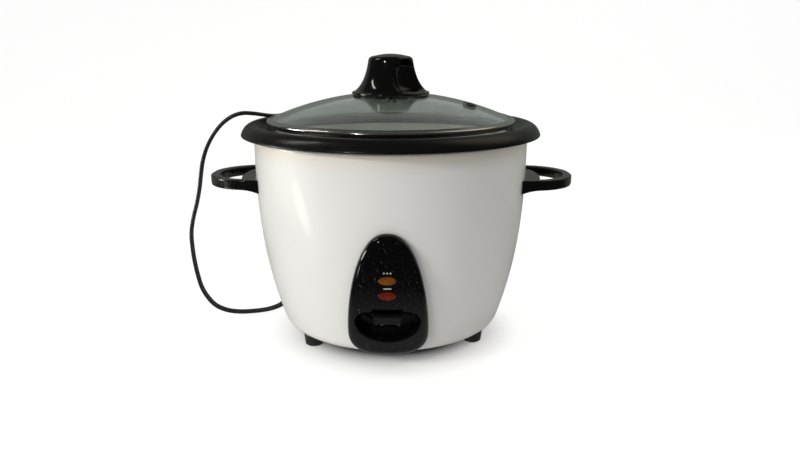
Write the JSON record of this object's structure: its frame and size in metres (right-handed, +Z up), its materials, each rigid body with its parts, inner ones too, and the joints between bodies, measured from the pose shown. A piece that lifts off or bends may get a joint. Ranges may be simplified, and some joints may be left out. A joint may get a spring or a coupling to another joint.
{
  "type": "rice cooker",
  "caption": "Round white electric rice cooker on three feet, with loop handles, black front panel, lever and lamps, lift-out pot with wide black rim, domed glass lid and cord.",
  "frame": {"origin": "centre of the base, on the table under the feet", "axes": "+Z up, -Y towards the front panel, +X towards the right-hand handle as seen from the front"},
  "size_m": [0.3004, 0.27, 0.2125],
  "materials": {
    "white_enamel": "gloss paint on steel",
    "liner_aluminium": "satin drawn sheet",
    "base_zinc": "semi-gloss paint on pressed sheet",
    "foot_plastic": "matt moulded",
    "screw_steel": "bright zinc",
    "handle_plastic": "semi-matt moulded phenolic",
    "panel_plastic": "high gloss",
    "amber_lens": "clear tinted",
    "red_lens": "clear tinted",
    "holder_plastic": "natural nylon",
    "lamp_glass": "clear",
    "plate_aluminium": "machined casting",
    "element_steel": "oxidised sheath",
    "mica": "mica band",
    "fuse_ceramic": "glazed sleeve",
    "bracket_steel": "zinc-plated",
    "contact_phenolic": "moulded phenolic",
    "contact_brass": "satin",
    "lever_plastic": "gloss",
    "rod_steel": "ground",
    "ferrite": "sintered",
    "spring_steel": "drawn wire",
    "sensor_aluminium": "satin pressed cup",
    "lead_insulation": "silicone sleeve",
    "cord_pvc": "semi-matt flat flex",
    "tie_plastic": "strip",
    "plug_pvc": "moulded",
    "plug_brass": "bright",
    "pot_coating": "black non-stick coating",
    "lid_glass": "clear tempered",
    "rim_stainless": "polished",
    "vent_steel": "polished",
    "knob_plastic": "high gloss phenolic",
    "washer_silicone": "matt"
  },
  "bodies": {
    "housing": {"outer_shell": "white_enamel", "inner_liner": "liner_aluminium", "base_cover": "base_zinc", "foot_front_left": "foot_plastic", "foot_front_right": "foot_plastic", "foot_rear": "foot_plastic", "base_screws": "screw_steel", "handle_left": "handle_plastic", "handle_right": "handle_plastic", "handle_screws": "screw_steel", "control_panel": "panel_plastic", "panel_screws": "screw_steel", "warm_lens": "amber_lens", "cook_lens": "red_lens", "lamp_holder": "holder_plastic", "neon_lamps": "lamp_glass", "heating_plate": "plate_aluminium", "heating_element": "element_steel", "plate_posts": "bracket_steel", "plate_screws": "screw_steel", "keep_warm_heater": "mica", "thermal_fuse": "fuse_ceramic", "switch_bracket": "bracket_steel", "bracket_screws": "screw_steel", "contact_block": "contact_phenolic", "contact_blades": "contact_brass", "lever_pin": "rod_steel", "rod_spring": "spring_steel", "sensor_spring": "spring_steel", "inner_leads": "lead_insulation", "cord_gland": "plug_pvc", "power_cord": "cord_pvc", "cord_coil": "cord_pvc", "cord_tie": "tie_plastic", "plug_body": "plug_pvc", "plug_blades": "plug_brass"},
    "pot": {"inner_pot": "pot_coating"},
    "lid": {"lid_glass": "lid_glass", "lid_rim": "rim_stainless", "steam_vent": "vent_steel", "knob": "knob_plastic", "knob_washer": "washer_silicone", "knob_screw": "screw_steel"},
    "lever": {"cook_lever": "lever_plastic"},
    "magnet_rod": {"lift_rod": "rod_steel", "latch_magnet": "ferrite"},
    "sensor": {"sensor_cup": "sensor_aluminium", "sensor_ferrite": "ferrite"}
  },
  "joints": [
    {"name": "pot_lift", "type": "slide", "parent": "housing", "child": "pot", "axis": [0, 0, 1], "range_m": [0, 0.12], "deforming": ["power_cord"]},
    {"name": "lid_lift", "type": "slide", "parent": "pot", "child": "lid", "axis": [0, 0, 1], "range_m": [0, 0.06]},
    {"name": "lever_press", "type": "hinge", "parent": "housing", "child": "lever", "pos_m": [0, -0.046, 0.028], "axis": [1, 0, 0], "range_deg": [0, 8], "stiffness_Nm_per_rad": 0.2, "springref_deg": -8.59},
    {"name": "magnet_lift", "type": "slide", "parent": "housing", "child": "magnet_rod", "axis": [0, 0, 1], "range_m": [0, 0.0066], "deforming": ["rod_spring"]},
    {"name": "sensor_press", "type": "slide", "parent": "housing", "child": "sensor", "axis": [0, 0, -1], "range_m": [0, 0.0015], "stiffness_N_per_m": 800, "springref_m": -0.004, "deforming": ["sensor_spring"]}
  ],
  "couplings": [
    {"joint": "magnet_lift", "follows": "lever_press", "m_per_rad": 0.046}
  ]
}
